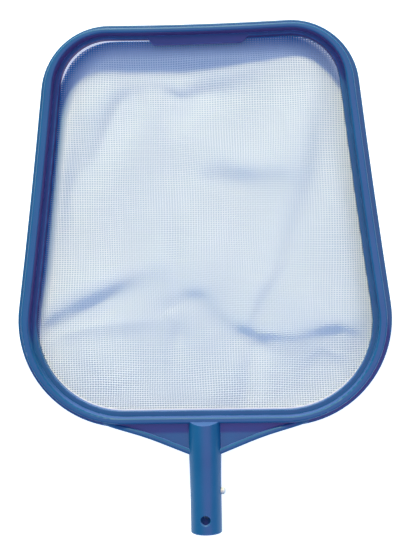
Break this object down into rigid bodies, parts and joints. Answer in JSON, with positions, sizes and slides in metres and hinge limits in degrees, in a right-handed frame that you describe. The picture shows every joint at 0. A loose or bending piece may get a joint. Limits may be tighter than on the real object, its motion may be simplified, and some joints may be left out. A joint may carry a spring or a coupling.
{
  "type": "leaf skimmer net",
  "caption": "Flat leaf skimmer head: a rounded hoop with a raised rim holds a fine woven net, and a tubular socket with a spring button takes a pole.",
  "frame": {"origin": "middle of the outline, on the flat surface that the skimmer lies on, net side up", "axes": "+Y to the leading edge, -Y out of the pole tube, +Z to the front, where the rim stands up round the net"},
  "size_m": [0.301, 0.4074, 0.0259],
  "materials": {
    "frame_plastic": "satin moulded polypropylene, mid blue",
    "ring_plastic": "satin moulded polypropylene, mid blue",
    "net_mesh": "fine plain weave of pale blue monofilament",
    "binding_tape": "white heat-sealed tape",
    "clip_nylon": "white nylon"
  },
  "bodies": {
    "head": {"hoop_frame": "frame_plastic", "clamp_ring": "ring_plastic", "net": "net_mesh", "edge_binding": "binding_tape", "clip_anchor_leg": "clip_nylon"},
    "button": {"clip_button_leg": "clip_nylon"}
  },
  "joints": [
    {"name": "button_press", "type": "hinge", "parent": "head", "child": "button", "pos_m": [0.00825, -0.134, 0.013], "axis": [0, 0, -1], "range_deg": [0, 5.7], "stiffness_Nm_per_rad": 2}
  ]
}
